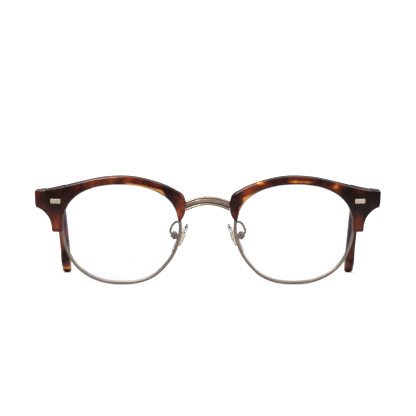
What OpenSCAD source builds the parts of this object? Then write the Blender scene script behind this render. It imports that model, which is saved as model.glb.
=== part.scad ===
// Half rim (browline) eyeglasses: metal eyewires hung under acetate brows, metal bridge,
// screw-on nose pads on wire arms, acetate temples with a wire core, five-barrel hinges.
// Stands on the rim bottoms and the two temple tips with both temples open, facing -Y.
// The wearer's left is +X.  All sizes are in millimetres.

/* [Front] */
// width of each metal eyewire seen from the front
rim_w = 1.3; // [1.1:0.1:1.5]
// depth of each eyewire from front to back
rim_d = 2.0; // [1.8:0.1:2.2]
// how far the acetate brow stands in front of the eyewire's middle
brow_front = 2.2; // [1.9:0.1:2.6]
// how far the acetate brow reaches behind the eyewire's middle
brow_back = 1.4; // [1.2:0.1:1.6]
// thickness of each lens
lens_t = 1.9; // [1.6:0.1:2.0]

/* [Bridge] */
// height of the bridge arch at its middle
bridge_h = 3.6; // [3.2:0.1:4.0]
// depth of the bridge bar from front to back
bridge_d = 2.4; // [2.0:0.1:2.6]

/* [Temples] */
// thickness of each temple
temple_t = 4.2; // [3.6:0.1:4.2]
// height of the flat wire core inside each temple
core_h = 1.4; // [1.0:0.1:1.6]
// pantoscopic tilt: how far the front leans from square to the temples
tilt = 8; // [7:0.5:9]

/* [Hinges] */
// outer radius of the five hinge barrels
barrel_r = 1.2; // [1.0:0.05:1.25]
// radius of the hinge screw shank
screw_r = 0.6; // [0.5:0.05:0.65]
// running clearance round the hinge screw
fit = 0.05; // [0.03:0.01:0.08]

/* [Nose pads] */
// length of each nose pad
pad_l = 13.4; // [12:0.2:14]
// width of each nose pad
pad_w = 7.2; // [6.6:0.2:7.6]
// thickness of each nose pad
pad_t = 1.9; // [1.8:0.1:2.2]
// radius of the pad arm wire
arm_r = 0.45; // [0.4:0.05:0.5]

/* [Hidden] */

R = 175;                          // radius of the front's curve
C = [23.25, R - 0.43, 21.4];      // centre of that curve for the +X lens
P = [65.7, 8.8, 34.5];            // hinge pivot, with the front upright
K = [13.3, 7.6, 19.2];            // pad screw
pad_tip = 28;                     // slant of the pads' length in the front plane
pad_splay = 8;                   // the pads open towards the face
stand = tilt;                     // lean that stands the open frame on rims and tips, temples level
k = 1.012;                        // temple outline scale
shift = [0, 65.48, 0.043];        // puts the origin under the middle of the frame
leaf = 1.5;                       // hinge axis to the temple's inner face
seat = -1.9;                      // hinge axis to the front leaf's seat

// a smooth curve through points: one span, an open run, a closed loop
function span(a, b, c, d, t) = 0.5 * (2 * b + (c - a) * t + (2 * a - 5 * b + 4 * c - d) * t * t + (3 * b - a - 3 * c + d) * t * t * t);
function open_run(P, n) = let (m = len(P) - 1) concat([for (i = [0:m - 1]) for (j = [0:n - 1])
  span(P[max(i - 1, 0)], P[i], P[i + 1], P[min(i + 2, m)], j / n)], [P[m]]);
function loop(P, n) = let (m = len(P)) [for (i = [0:m - 1]) for (j = [0:n - 1])
  span(P[(i + m - 1) % m], P[i], P[(i + 1) % m], P[(i + 2) % m], j / n)];
// a closed outline moved inwards by d
function inset(Q, d) = let (m = len(Q)) [for (i = [0:m - 1])
  let (a = Q[(i + m - 1) % m], b = Q[(i + 1) % m], t = (b - a) / norm(b - a)) Q[i] + d * [-t[1], t[0]]];

rim = loop([[35.5, 0], [43.5, 0.7], [50.3, 3.5], [55.4, 7.9], [58.7, 14], [60.4, 20.7],
  [60.7, 26.5], [59.3, 32.2], [55.6, 37.2], [49.6, 40.7], [42.3, 42.4], [35, 42.8],
  [27.5, 42.1], [20.5, 39.8], [15, 36.1], [11.8, 31], [10.6, 25], [11, 20],
  [12.9, 14], [16.1, 8.8], [21.3, 3.6], [27.8, 0.8]], 4);

brow = concat(
  open_run([[11.4, 26.3], [9.9, 28.5], [9.1, 31], [9.2, 35], [10.3, 37.6], [13, 39.3], [17.1, 41.4],
    [23, 43.4], [29.4, 44.8], [36, 45.2], [44, 44.5], [52, 42.7], [60, 40.6], [66, 39.3], [70.6, 38.7]], 3),
  open_run([[71.3, 38.3], [71.5, 37.5], [71.4, 35], [71.2, 32.6], [70.5, 31.6], [68.4, 30.5],
    [66, 28.1], [64.8, 25.6], [64.2, 22]], 3),
  open_run([[63.8, 21.7], [60.3, 21.7], [59.9, 22.1]], 1),
  open_run([[59.9, 24.6], [59.7, 27.5], [58.6, 31.2], [56, 34.8], [52.4, 37.8], [47, 40.2], [41.7, 41.3],
    [36.8, 41.75], [31, 41.5], [24.5, 40.3], [19.6, 38.5], [16, 35.7], [13.6, 32.4], [12.5, 28.7], [12, 26.5]], 3));

// temple side: distance back from the pivot, height above it
temple_side = [for (q = concat(
  open_run([[0.1, 3.5], [20, 3.4], [53.6, 3.2], [63.9, 2.8]], 1),
  open_run([[66.9, 1.9], [69.1, 1.2], [80.2, -0.8], [90.6, -1.7], [98.5, -4.2], [102.8, -6.4], [115, -16.2], [130, -28.3]], 3),
  open_run([[131.9, -30.1], [132.7, -32.5], [132.3, -34.1], [131.4, -34.92], [129.9, -34.4], [125, -32.1], [122.2, -30.8]], 2),
  open_run([[120.6, -28.9], [118, -24.9], [115, -22.5], [102.8, -12.2], [98.5, -8.7], [94, -6.6], [86.7, -5.2],
    [80.2, -4.7], [73.5, -5.2], [68, -5.9]], 3),
  open_run([[63.9, -6.8], [53.6, -5.9], [9.3, -3.6], [0.1, -3.5]], 1))) [q[0] > 1 ? q[0] * k : q[0], q[1] * k]];
core_path = [[84, -3], [90, -3.6], [95, -5.2], [101, -8.2], [126, -28.9]];   // the core's middle line, after its straight run

module front() translate(-shift) rotate([stand, 0, 0]) children();
module left_side() front() children();
module right_side() front() mirror([1, 0, 0]) children();
module ball(r) translate(C) sphere(r = r, $fn = 300);
module slab(Q, y0 = -6, y1 = 14) translate([0, y1, 0]) rotate([90, 0, 0]) linear_extrude(y1 - y0) polygon(Q);
// what lies between the front's curve moved back by a and by b
module layer(a, b) difference() { ball(R - a); ball(R - b); }
module at_hinge() translate(P) rotate([-tilt, 0, 0]) children();
module at_pad() translate(K) rotate([0, -pad_tip, 0]) rotate([0, 0, -pad_splay]) children();
// a round wire swept along a path, with n sides
module wire(path, r, n = 12) {
  m = len(path);
  pts = [for (i = [0:m - 1]) let (d = path[min(i + 1, m - 1)] - path[max(i - 1, 0)], t = d / norm(d),
    a = cross(t, [1, 0, 1]), u = a / norm(a), v = cross(t, u)) for (j = [0:n - 1]) path[i] + r * (cos(360 * j / n) * u + sin(360 * j / n) * v)];
  polyhedron(pts, concat([[for (j = [0:n - 1]) j]], [[for (j = [n - 1:-1:0]) (m - 1) * n + j]],
    [for (i = [0:m - 2]) for (j = [0:n - 1]) [i * n + j, (i + 1) * n + j, (i + 1) * n + (j + 1) % n, i * n + (j + 1) % n]]), convexity = 6);
}

lock_z = 25.5;  // height of the eyewire's split
module lock_box(g) translate([61.9, 5.1, lock_z]) cube([3.0 + 2 * g, 3.4 + 2 * g, 4.6 + 2 * g], center = true);

module eyewire() color("silver") difference() {
  intersection() {
    difference() { slab(rim); slab(inset(rim, rim_w), -7, 15); }
    layer(-rim_d / 2, rim_d / 2);
  }
  intersection() { slab(inset(rim, rim_w - 0.5)); layer(-0.45, 0.45); }
  translate([58, -2, lock_z - 0.2]) cube([6, 12, 0.4]);
}
module lens() color("lightblue", 0.4) union() {
  intersection() { slab(inset(rim, rim_w + 0.1)); layer(-lens_t / 2, lens_t / 2); }
  intersection() { slab(inset(rim, rim_w - 0.4)); layer(-0.38, 0.38); }
}
module rim_lock() color("silver") difference() {
  lock_box(0);
  translate([58, 0, lock_z - 0.2]) cube([8, 12, 0.4]);
  translate([62.2, 5.4, lock_z - 4]) cylinder(h = 8, r = 0.5, $fn = 32);
  intersection() { slab(inset(rim, -0.02)); layer(-rim_d, 2 * rim_d); }
}
module rim_lock_screw() translate([62.2, 5.4, lock_z]) {
  translate([0, 0, -2.3]) cylinder(h = 4.6, r = 0.47, $fn = 32);
  translate([0, 0, -2.9]) difference() { cylinder(h = 0.6, r = 0.85, $fn = 32); translate([-1, -0.12, -1]) cube([2, 0.24, 1.3]); }
}
module brow_body() color("saddlebrown") difference() {
  intersection() {
    slab(brow);
    ball(R + brow_front);
    union() {
      difference() { translate([0, -6, 15]) cube([80, 20, 40]); ball(R - brow_back); }
      at_hinge() translate([-6.6, -12, -8]) cube([7.7, 12 + seat, 20]);
      at_hinge() translate([1.0, -12, -8]) cube([6, 12 - 0.1, 20]);
    }
  }
  // the eyewire lies in a rebate in the brow's back
  intersection() { slab(inset(rim, -0.05)); ball(R + rim_d / 2 + 0.05); }
  lock_box(0.05);
  for (q = shanks) at_hinge() translate([q[0], 2, 0]) rotate([90, 0, 0]) cylinder(h = 2.03 - seat + q[1], r = 0.53, $fn = 32);
  // the hinge leaf's seat and the barrels' room
  at_hinge() translate([-6.5, seat, -3.1]) cube([7.85, 6, 6.2]);
  // the way up to the rim lock's screw
  translate([62.2, 5.4, 21]) cylinder(h = 2.3, r = 0.9, $fn = 32);
  intersection() { slab(inset(bar, -0.02)); layer(-brow_front - 1, -brow_front + 0.36); }
  translate([10.6, 6, 33.1]) rotate([90, 0, 0]) cylinder(h = 6.6, r = 0.5, $fn = 32);
}
module bar(x0, x1, y, z0, z1, d) translate([x0, y, z0]) cube([x1 - x0, d, z1 - z0]);
function arch(x, z, drop) = z - drop * pow(abs(x) / 9.2, 2);
module arch_band(z0, z1, y0, y1, x = 8.95) slab(concat(
  [for (i = [-12:12]) [i * x / 12, arch(i * x / 12, z0, 2.6)]],
  [for (i = [12:-1:-12]) [i * x / 12, arch(i * x / 12, z1, 2.1)]]), y0, y1);
bz = 36.7;
module bridge_bar() color("silver") difference() {
  union() {
    arch_band(bz - bridge_h, bz - bridge_h + 1.2, -0.9, -0.9 + bridge_d);
    arch_band(bz - bridge_h + 0.9, bz - 0.5, -0.6, -0.9 + bridge_d);
    arch_band(bz - bridge_h + 1.45, bz - 0.7, -0.85, 1);
    arch_band(bz - 0.6, bz, -0.75, -0.9 + bridge_d);
    // the two feet lie behind the brows, soldered to the eyewires
    for (m = [0, 1]) mirror([m, 0, 0]) intersection() { translate([8.2, 1.55, 31.6]) cube([4.2, 1.3, 3.1]); ball(R - brow_back - 0.02); }
    for (m = [0, 1]) mirror([m, 0, 0]) translate([8.2, 0.4, 31.6]) cube([0.75, 2.2, 2.7]);
  }
  for (m = [0, 1]) mirror([m, 0, 0]) {
    translate([10.6, 6, 33.1]) rotate([90, 0, 0]) cylinder(h = 8, r = 0.5, $fn = 32);
    intersection() { slab(inset(rim, -0.02)); layer(-rim_d, rim_d / 2 + 0.02); }
  }
}
module bridge_screw() translate([10.6, 2.85, 33.1]) rotate([90, 0, 0]) {
  cylinder(h = 3, r = 0.45, $fn = 32);
  translate([0, 0, -0.5]) difference() { cylinder(h = 0.5, r = 0.85, $fn = 32); translate([-1, -0.12, -0.7]) cube([2, 0.24, 1]); }
}
// the plaque is let into the brow's front and stands a little proud of it
bar = [[60.6, 33.5], [64.8, 33.5], [64.8, 35.35], [60.6, 35.35]];
shanks = [[-3.9, 4.35], [-2.1, 4]];   // each plaque shank: place beside the pivot, length
module plaque() color("gold") union() {
  intersection() { slab(bar); layer(-brow_front - 0.3, -brow_front + 0.35); }
  for (q = shanks) at_hinge() translate([q[0], seat, 0]) rotate([90, 0, 0]) cylinder(h = q[1], r = 0.5, $fn = 32);
}
module barrels(z) for (q = z) translate([0, 0, q[0]]) cylinder(h = q[1] - q[0], r = barrel_r, $fn = 48);
front_z = [[-3, -1.8], [-0.6, 0.6], [1.8, 3]];
back_z = [[-1.75, -0.65], [0.65, 1.75]];
module front_hinge() color("silver") at_hinge() difference() {
  union() {
    barrels(front_z);
    for (q = front_z) translate([-barrel_r, seat, q[0]]) cube([2 * barrel_r, -seat, q[1] - q[0]]);
    translate([-6.4, seat, -3]) cube([7.3, 0.5, 6]);
  }
  translate([0, 0, -5]) cylinder(h = 10, r = screw_r + fit, $fn = 48);
}
module temple_hinge() color("silver") at_hinge() difference() {
  union() {
    barrels(back_z);
    for (q = back_z) translate([0, 0, q[0]]) cube([leaf, 1.8, q[1] - q[0]]);
    translate([leaf - 0.9, 1.7, -3]) cube([0.9, 9, 6]);
  }
  translate([0, 0, -5]) cylinder(h = 10, r = screw_r + fit, $fn = 48);
  for (y = [4.4, 8.2]) translate([leaf - 2, y, 0]) rotate([0, 90, 0]) cylinder(h = 3, r = 0.5, $fn = 32);
}
module hinge_screw() color("silver") at_hinge() difference() {
  union() {
    translate([0, 0, -3.2]) cylinder(h = 6.3, r = screw_r, $fn = 48);
    translate([0, 0, 3.02]) cylinder(h = 0.6, r = 1.05, $fn = 48);
  }
  translate([-1.5, -0.13, 3.35]) cube([3, 0.26, 1]);
}
// a band of height w along an open line
function band(L, w) = let (m = len(L) - 1, N = [for (i = [0:m]) let (d = L[min(i + 1, m)] - L[max(i - 1, 0)]) [-d[1], d[0]] / norm(d)])
  concat([for (i = [0:m]) L[i] - w / 2 * N[i]], [for (i = [m:-1:0]) L[i] + w / 2 * N[i]]);
module core(start, g) translate([leaf + temple_t / 2 - 0.6 - g, 0, 0]) rotate([90, 0, 90]) linear_extrude(1.2 + 2 * g)
  polygon(band([for (q = concat([[start, 0.1 + (0.6 - start) / 41.4], [42, -0.9]], core_path)) [q[0] * k, q[1] * k]], core_h + 2 * g));
module temple() color("saddlebrown") at_hinge() difference() {
  translate([leaf, 0, 0]) rotate([90, 0, 90]) linear_extrude(temple_t) polygon(temple_side);
  core(-2, 0.03);
  for (y = [4.4, 8.2]) translate([leaf - 1, y, 0]) rotate([0, 90, 0]) cylinder(h = 2.3, r = 0.5, $fn = 32);
}
module core_wire() color("gold") at_hinge() core(0.6, 0);
module temple_rivets() color("silver") at_hinge() for (y = [4.4, 8.2]) translate([leaf - 0.9, y, 0]) rotate([0, 90, 0]) {
  cylinder(h = 2.1, r = 0.47, $fn = 32);
  translate([0, 0, -0.35]) cylinder(h = 0.35, r = 0.8, $fn = 32);
}
module pad_arm() color("silver") union() {
  wire(open_run([[11.3, 1.1, 25.5], [11.4, 2.2, 25.6], [12.2, 3.6, 25.7], [13.4, 5, 25.3],
    [14.6, 6.2, 23.9], [15.4, 7.1, 22], [15.5, 7.5, 20.8], [14.8, 7.6, 20]], 3), arm_r);
  at_pad() difference() {
    translate([-0.5, -1.4, -1.6]) cube([2.3, 2.8, 3.2]);
    translate([-1, -0.95, -2]) cube([2.3, 1.9, 4]);
    rotate([90, 0, 0]) cylinder(h = 4, r = 0.45, center = true, $fn = 32);
  }
}
module pad_screw() color("silver") at_pad() {
  rotate([90, 0, 0]) cylinder(h = 3.0, r = 0.4, center = true, $fn = 32);
  translate([0, -1.4, 0]) rotate([90, 0, 0]) difference() { cylinder(h = 0.5, r = 0.75, $fn = 32); translate([-1, -0.12, 0.25]) cube([2, 0.24, 1]); }
}
pad_x = -2.5;   // pad's middle, from the screw towards the nose
module pad_core(g = 0) color("gold") at_pad() union() {
  translate([pad_x - 0.25 - g, -1.6 - g, -2.6 - g]) cube([0.5 + 2 * g, 3.2 + 2 * g, 5.2 + 2 * g]);
  difference() {
    translate([pad_x, -0.9 - g, -1.1 - g]) cube([0.75 - pad_x, 1.8 + 2 * g, 2.2 + 2 * g]);
    if (g == 0) rotate([90, 0, 0]) cylinder(h = 4, r = 0.45, center = true, $fn = 32);
  }
}
pad_outline = [for (a = [0:10:350]) let (w = 1 - 0.14 * sin(a)) [pad_w / 2 * cos(a) * w, pad_l / 2 * sin(a)]];
module nose_pad() color("white", 0.6) difference() {
  at_pad() intersection() {
    translate([pad_x - pad_t / 2, 0, 0]) rotate([90, 0, 90]) linear_extrude(pad_t) polygon(pad_outline);
    translate([pad_x - pad_t / 2 + 24, 0, 0]) sphere(r = 24, $fn = 300);
  }
  pad_core(0.03);
}

module brow_left() left_side() brow_body();
module brow_right() right_side() brow_body();
module eyewire_left() left_side() eyewire();
module eyewire_right() right_side() eyewire();
module rim_lock_left() left_side() rim_lock();
module rim_lock_right() right_side() rim_lock();
module rim_lock_screws() color("silver") { left_side() rim_lock_screw(); right_side() rim_lock_screw(); }
module lens_left() left_side() lens();
module lens_right() right_side() lens();
module bridge() front() bridge_bar();
module bridge_screws() color("silver") { left_side() bridge_screw(); right_side() bridge_screw(); }
module plaque_left() left_side() plaque();
module plaque_right() right_side() plaque();
module front_hinge_left() left_side() front_hinge();
module front_hinge_right() right_side() front_hinge();
module hinge_screw_left() left_side() hinge_screw();
module hinge_screw_right() right_side() hinge_screw();
module pad_arm_left() left_side() pad_arm();
module pad_arm_right() right_side() pad_arm();
module pad_screw_left() left_side() pad_screw();
module pad_screw_right() right_side() pad_screw();
module nose_pad_left() left_side() nose_pad();
module nose_pad_right() right_side() nose_pad();
module pad_core_left() left_side() pad_core();
module pad_core_right() right_side() pad_core();
module temple_left() left_side() temple();
module temple_right() right_side() temple();
module core_wire_left() left_side() core_wire();
module core_wire_right() right_side() core_wire();
module temple_hinge_left() left_side() temple_hinge();
module temple_hinge_right() right_side() temple_hinge();
module temple_rivets_left() left_side() temple_rivets();
module temple_rivets_right() right_side() temple_rivets();

brow_left();
brow_right();
eyewire_left();
eyewire_right();
rim_lock_left();
rim_lock_right();
rim_lock_screws();
lens_left();
lens_right();
bridge();
bridge_screws();
plaque_left();
plaque_right();
front_hinge_left();
front_hinge_right();
hinge_screw_left();
hinge_screw_right();
pad_arm_left();
pad_arm_right();
pad_screw_left();
pad_screw_right();
nose_pad_left();
nose_pad_right();
pad_core_left();
pad_core_right();
temple_left();
temple_right();
core_wire_left();
core_wire_right();
temple_hinge_left();
temple_hinge_right();
temple_rivets_left();
temple_rivets_right();
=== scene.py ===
"""Half rim eyeglasses: the looks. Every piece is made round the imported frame, in metres, in its axes."""
import math

import bmesh
import bpy
import numpy as np
from mathutils import Matrix, Vector
from mathutils.geometry import delaunay_2d_cdt


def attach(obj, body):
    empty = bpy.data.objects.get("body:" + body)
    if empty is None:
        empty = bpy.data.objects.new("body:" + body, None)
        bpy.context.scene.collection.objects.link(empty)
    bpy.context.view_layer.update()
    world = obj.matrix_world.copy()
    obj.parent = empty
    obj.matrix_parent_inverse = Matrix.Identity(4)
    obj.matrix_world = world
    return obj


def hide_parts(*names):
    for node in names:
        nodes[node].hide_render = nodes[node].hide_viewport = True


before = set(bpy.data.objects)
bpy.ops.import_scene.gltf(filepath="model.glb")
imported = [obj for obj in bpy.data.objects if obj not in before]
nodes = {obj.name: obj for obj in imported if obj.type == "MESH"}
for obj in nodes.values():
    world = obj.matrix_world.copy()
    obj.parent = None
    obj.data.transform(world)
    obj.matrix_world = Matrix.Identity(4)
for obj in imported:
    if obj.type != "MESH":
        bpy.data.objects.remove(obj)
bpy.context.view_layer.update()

# ---------------------------------------------------------------- the design's own numbers, in mm, front upright
TILT, STAND = 8.0, 8.0
SHIFT = np.array([0.0, 65.48, 0.043])
R = 175.0
C = np.array([23.25, R - 0.43, 21.4])
P = np.array([65.7, 8.8, 34.5])
K = np.array([13.3, 7.6, 19.2])
PAD_TIP, PAD_SPLAY, PAD_X, PAD_T, PAD_L, PAD_W = 28.0, 8.0, -2.5, 1.9, 13.4, 7.2
RIM_W, RIM_D = 1.3, 2.0
BROW_F, BROW_B = 2.2, 1.4
LEAF, SEAT, TEMPLE_T, KK = 1.5, -1.9, 4.2, 1.012


def rx(a):
    c, s = math.cos(math.radians(a)), math.sin(math.radians(a))
    return np.array([[1, 0, 0], [0, c, -s], [0, s, c]])


def ry(a):
    c, s = math.cos(math.radians(a)), math.sin(math.radians(a))
    return np.array([[c, 0, s], [0, 1, 0], [-s, 0, c]])


def rz(a):
    c, s = math.cos(math.radians(a)), math.sin(math.radians(a))
    return np.array([[c, -s, 0], [s, c, 0], [0, 0, 1]])


S, HR, KR = rx(STAND), rx(-TILT), ry(-PAD_TIP) @ rz(-PAD_SPLAY)


def row(p, side=1):
    """Points of the upright front, in mm, to the row frame in metres; side -1 mirrors them."""
    p = np.atleast_2d(np.asarray(p, float)) * [side, 1, 1]
    return (p @ S.T - SHIFT) / 1000.0


def hinge(p):
    return P + np.atleast_2d(np.asarray(p, float)) @ HR.T


def pad(p):
    return K + np.atleast_2d(np.asarray(p, float)) @ KR.T


def span(a, b, c, d, t):
    return 0.5 * (2 * b + (c - a) * t + (2 * a - 5 * b + 4 * c - d) * t * t + (3 * b - a - 3 * c + d) * t ** 3)


def open_run(pts, n):
    p = np.array(pts, float)
    m = len(p) - 1
    out = [span(p[max(i - 1, 0)], p[i], p[i + 1], p[min(i + 2, m)], j / n) for i in range(m) for j in range(n)]
    return np.array(out + [p[m]])


def loop(pts, n):
    p = np.array(pts, float)
    m = len(p)
    return np.array([span(p[i - 1], p[i], p[(i + 1) % m], p[(i + 2) % m], j / n) for i in range(m) for j in range(n)])


def inset(q, d):
    t = np.roll(q, -1, 0) - np.roll(q, 1, 0)
    t /= np.linalg.norm(t, axis=1)[:, None]
    return q + d * np.stack([-t[:, 1], t[:, 0]], 1)


def resample(q, step, closed=True):
    p = np.vstack([q, q[:1]]) if closed else q
    seg = np.linalg.norm(np.diff(p, axis=0), axis=1)
    s = np.concatenate([[0], np.cumsum(seg)])
    n = max(8, int(round(s[-1] / step)))
    u = np.linspace(0, s[-1], n + 1)
    out = np.stack([np.interp(u, s, p[:, k]) for k in range(p.shape[1])], 1)
    return (out[:-1], u[:-1]) if closed else (out, u)


def smooth(a, b, x):
    t = np.clip((np.asarray(x, float) - a) / (b - a), 0, 1)
    return t * t * (3 - 2 * t)


RIM = loop([[35.5, 0], [43.5, 0.7], [50.3, 3.5], [55.4, 7.9], [58.7, 14], [60.4, 20.7],
            [60.7, 26.5], [59.3, 32.2], [55.6, 37.2], [49.6, 40.7], [42.3, 42.4], [35, 42.8],
            [27.5, 42.1], [20.5, 39.8], [15, 36.1], [11.8, 31], [10.6, 25], [11, 20],
            [12.9, 14], [16.1, 8.8], [21.3, 3.6], [27.8, 0.8]], 16)
BROW_TOP = [[11.4, 26.3], [9.9, 28.5], [9.1, 31], [9.2, 35], [10.3, 37.6], [13, 39.3], [17.1, 41.4],
            [23, 43.4], [29.4, 44.8], [36, 45.2], [44, 44.5], [52, 42.7], [60, 40.6], [66, 39.3], [70.6, 38.7]]
BROW_OUT = [[71.3, 38.3], [71.5, 37.5], [71.4, 35], [71.2, 32.6], [70.5, 31.6], [68.4, 30.5],
            [66, 28.1], [64.8, 25.6], [64.2, 22]]
BROW_FOOT = [[63.8, 21.7], [60.3, 21.7], [59.9, 22.1]]
BROW_IN = [[59.9, 24.6], [59.7, 27.5], [58.6, 31.2], [56, 34.8], [52.4, 37.8], [47, 40.2], [41.7, 41.3],
           [36.8, 41.75], [31, 41.5], [24.5, 40.3], [19.6, 38.5], [16, 35.7], [13.6, 32.4], [12.5, 28.7], [12, 26.5]]
TEMPLE_UP = [[0.1, 3.5], [20, 3.4], [53.6, 3.2], [63.9, 2.8]]
TEMPLE_EAR = [[66.9, 1.9], [69.1, 1.2], [80.2, -0.8], [90.6, -1.7], [98.5, -4.2], [102.8, -6.4], [115, -16.2], [130, -28.3]]
TEMPLE_TIP = [[131.9, -30.1], [132.7, -32.5], [132.3, -34.1], [131.4, -34.92], [129.9, -34.4], [125, -32.1], [122.2, -30.8]]
TEMPLE_LOW = [[120.6, -28.9], [118, -24.9], [115, -22.5], [102.8, -12.2], [98.5, -8.7], [94, -6.6], [86.7, -5.2],
              [80.2, -4.7], [73.5, -5.2], [68, -5.9]]
TEMPLE_BOT = [[63.9, -6.8], [53.6, -5.9], [9.3, -3.6], [0.1, -3.5]]
CORE = np.array([[0.6, 0.1], [42, -0.9], [84, -3], [90, -3.6], [95, -5.2], [101, -8.2], [126, -28.9]]) * KK


def surf(q, off):
    """Y of the front's curve at outline points q, moved back by off."""
    q = np.atleast_2d(q)
    return C[1] - np.sqrt((R - off) ** 2 - (q[:, 0] - C[0]) ** 2 - (q[:, 1] - C[2]) ** 2)


# ---------------------------------------------------------------- mesh helpers
def new_mesh(name, verts, faces, side=1, smooth_shade=True, attrs=None):
    if side < 0:
        faces = [tuple(reversed(f)) for f in faces]
    me = bpy.data.meshes.new(name)
    me.from_pydata([tuple(v) for v in np.asarray(verts, float)], [], [tuple(int(i) for i in f) for f in faces])
    me.validate(clean_customdata=False)
    me.update()
    for key, values in (attrs or {}).items():
        a = me.attributes.new(key, "FLOAT", "POINT")
        a.data.foreach_set("value", np.asarray(values, np.float32))
    if smooth_shade:
        me.polygons.foreach_set("use_smooth", [True] * len(me.polygons))
    ob = bpy.data.objects.new(name, me)
    bpy.context.scene.collection.objects.link(ob)
    return ob


def finish_piece(ob, body, slot, material, *replaced, recalc=True):
    if recalc:
        bm = bmesh.new()
        bm.from_mesh(ob.data)
        bmesh.ops.recalc_face_normals(bm, faces=bm.faces)
        bm.to_mesh(ob.data)
        bm.free()
    ob.data.materials.clear()
    ob.data.materials.append(material)
    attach(ob, body)
    if replaced:
        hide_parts(*replaced)
    return ob


def distance(pts, poly, closed=True):
    """Distance of each point to a polyline, and how far along it the nearest point lies, in segments."""
    a = poly
    b = np.roll(poly, -1, 0) if closed else poly[1:]
    a = a if closed else poly[:-1]
    best = np.full(len(pts), 1e9)
    where = np.zeros(len(pts))
    ab = b - a
    l2 = np.maximum((ab ** 2).sum(1), 1e-12)
    for i0 in range(0, len(pts), 4000):
        p = pts[i0:i0 + 4000]
        t = np.clip(((p[:, None, :] - a[None]) * ab[None]).sum(2) / l2, 0, 1)
        d = np.linalg.norm(p[:, None, :] - (a[None] + t[:, :, None] * ab[None]), axis=2)
        k = d.argmin(1)
        best[i0:i0 + 4000] = d[np.arange(len(p)), k]
        where[i0:i0 + 4000] = k + t[np.arange(len(p)), k]
    return best, where


def inside(pts, poly):
    x, y = pts[:, 0], pts[:, 1]
    hit = np.zeros(len(pts), bool)
    x1, y1 = poly[:, 0], poly[:, 1]
    x2, y2 = np.roll(x1, -1), np.roll(y1, -1)
    for a, b, c, d in zip(x1, y1, x2, y2):
        if b != d:
            m = (b > y) != (d > y)
            hit ^= m & (x < (c - a) * (y - b) / (d - b) + a)
    return hit


def sheet_mesh(outline, step, rings, extra=None):
    """Triangles over an outline: its own points first, then rings just inside it, then a grid."""
    q = outline
    cand = []
    for d in rings:
        ring = inset(q, d)
        dist, _ = distance(ring, q)
        ring = ring[(dist > 0.96 * d) & inside(ring, q)]
        cand.append(ring)
    lo, hi = q.min(0), q.max(0)
    gx, gz = np.arange(lo[0], hi[0], step), np.arange(lo[1], hi[1], step * 0.866)
    grid = np.array([[x + (step / 2 if j % 2 else 0), z] for j, z in enumerate(gz) for x in gx])
    grid = grid[inside(grid, q)]
    dist, _ = distance(grid, q)
    last = rings[-1] if len(rings) else 0.0
    grid = grid[dist > last + 0.45 * step]
    if extra is not None and len(extra):
        extra = extra[inside(extra, q)]
        dist, _ = distance(extra, q)
        extra = extra[dist > 0.06]
        near = np.array([np.abs(extra - g).sum(1).min() for g in grid])
        grid = grid[near > 0.3 * step]
        cand.append(extra)
    cand.append(grid)
    pts = np.vstack([q] + cand)
    keep, seen = list(range(len(q))), {}
    for i in range(len(q), len(pts)):
        key = (round(pts[i][0] / 0.03), round(pts[i][1] / 0.03))
        if key not in seen:
            seen[key] = 1
            keep.append(i)
    pts = pts[keep]
    edges = [(i, (i + 1) % len(q)) for i in range(len(q))]
    out = delaunay_2d_cdt([Vector(p) for p in pts], edges, [], 1, 1e-6)
    v = np.array([[p[0], p[1]] for p in out[0]])
    f = [tuple(t) for t in out[2]]
    ring0 = [None] * len(q)
    for new, olds in enumerate(out[3]):
        for o in olds:
            if o < len(q):
                ring0[o] = new
    return v, f, ring0


def plate(outline, step, rings, front, back, extra=None):
    """A solid over an outline. front and back give the third coordinate at each point, from the point and its distance to the edge."""
    v, f, ring = sheet_mesh(outline, step, rings, extra)
    d, w = distance(v, outline)
    a, b = front(v, d, w), back(v, d, w)
    n = len(v)
    flat = np.vstack([np.column_stack([v, a]), np.column_stack([v, b])])
    faces = [tuple(t) for t in f] + [tuple(i + n for i in reversed(t)) for t in f]
    for i in range(len(ring)):
        j = (i + 1) % len(ring)
        faces.append((ring[i] + n, ring[j] + n, ring[j], ring[i]))
    return flat, faces, np.concatenate([d, d]), np.concatenate([w, w]), n


def round_edge(d, r):
    r = np.broadcast_to(np.asarray(r, float), d.shape)
    x = np.clip(r - d, 0, None)
    return r - np.sqrt(np.maximum(r * r - x * x, 0))


def sweep(path, ring_fn, closed_profile=True, caps=True):
    """Rings of points along a path, joined. ring_fn(i) gives ring i's points."""
    rings = [ring_fn(i) for i in range(len(path))]
    m = len(rings[0])
    verts = np.vstack(rings)
    faces = []
    for i in range(len(rings) - 1):
        for j in range(m if closed_profile else m - 1):
            k = (j + 1) % m
            faces.append((i * m + j, (i + 1) * m + j, (i + 1) * m + k, i * m + k))
    if caps:
        faces.append(tuple(range(m)))
        faces.append(tuple((len(rings) - 1) * m + j for j in reversed(range(m))))
    return verts, faces


def tube(path, r, sides=16, taper=None):
    path = np.asarray(path, float)
    t = np.gradient(path, axis=0)
    t /= np.linalg.norm(t, axis=1)[:, None]
    u = np.cross(t[0], [1, 0, 1])
    u /= np.linalg.norm(u)
    frames = []
    for i in range(len(path)):
        u = u - t[i] * (u @ t[i])
        u /= np.linalg.norm(u)
        frames.append((u.copy(), np.cross(t[i], u)))

    def ring(i):
        a = np.linspace(0, 2 * np.pi, sides, endpoint=False)
        rr = r * (taper[i] if taper is not None else 1)
        return path[i] + rr * (np.cos(a)[:, None] * frames[i][0] + np.sin(a)[:, None] * frames[i][1])
    return sweep(path, ring)


def merge(parts):
    verts, faces, n = [], [], 0
    for v, f in parts:
        verts.append(np.asarray(v, float))
        faces += [tuple(i + n for i in t) for t in f]
        n += len(v)
    return np.vstack(verts), faces


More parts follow.
